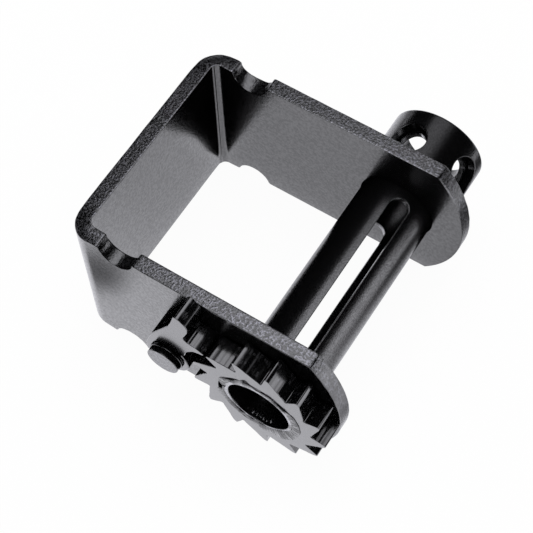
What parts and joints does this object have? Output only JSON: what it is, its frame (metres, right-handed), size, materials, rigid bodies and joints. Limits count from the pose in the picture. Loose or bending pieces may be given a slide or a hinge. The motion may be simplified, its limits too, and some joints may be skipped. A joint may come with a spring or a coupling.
{
  "type": "sliding winch",
  "caption": "Bent plate bracket with edge notches for a side rail, carrying a slotted strap drum with a ratchet wheel and pawl on one end and a cross-drilled bar head on the other.",
  "frame": {"origin": "middle of the outer face of the bracket's web, the face that lies towards the rail", "axes": "+Y out of the web's outer face, away from the drum; +X along the drum from the ratchet wheel to the bar head; +Z across the plate's width, towards the edge that the pawl lies on"},
  "size_m": [0.1773, 0.1523, 0.0937],
  "materials": {
    "plate": "semi-gloss black paint on hot-rolled plate",
    "turned": "semi-gloss black paint on tube and bar",
    "teeth": "semi-gloss black paint on flame-cut plate",
    "weld": "black paint over a rippled weld bead",
    "ring": "black paint on spring steel"
  },
  "bodies": {
    "bracket": {"frame": "plate", "pawl_pin": "turned", "pin_ring": "ring"},
    "drum": {"drum_tube": "turned", "ratchet_wheel": "teeth", "wheel_weld": "weld", "bar_head": "turned", "head_weld": "weld"},
    "pawl": {"pawl": "teeth"}
  },
  "joints": [
    {"name": "drum_spin", "type": "hinge", "parent": "bracket", "child": "drum", "pos_m": [0, -0.1148, 0], "axis": [1, 0, 0], "range_deg": [-360, 360]},
    {"name": "pawl_swing", "type": "hinge", "parent": "bracket", "child": "pawl", "pos_m": [-0.0688, -0.0632, 0], "axis": [1, 0, 0], "range_deg": [-110, 13.75]}
  ]
}
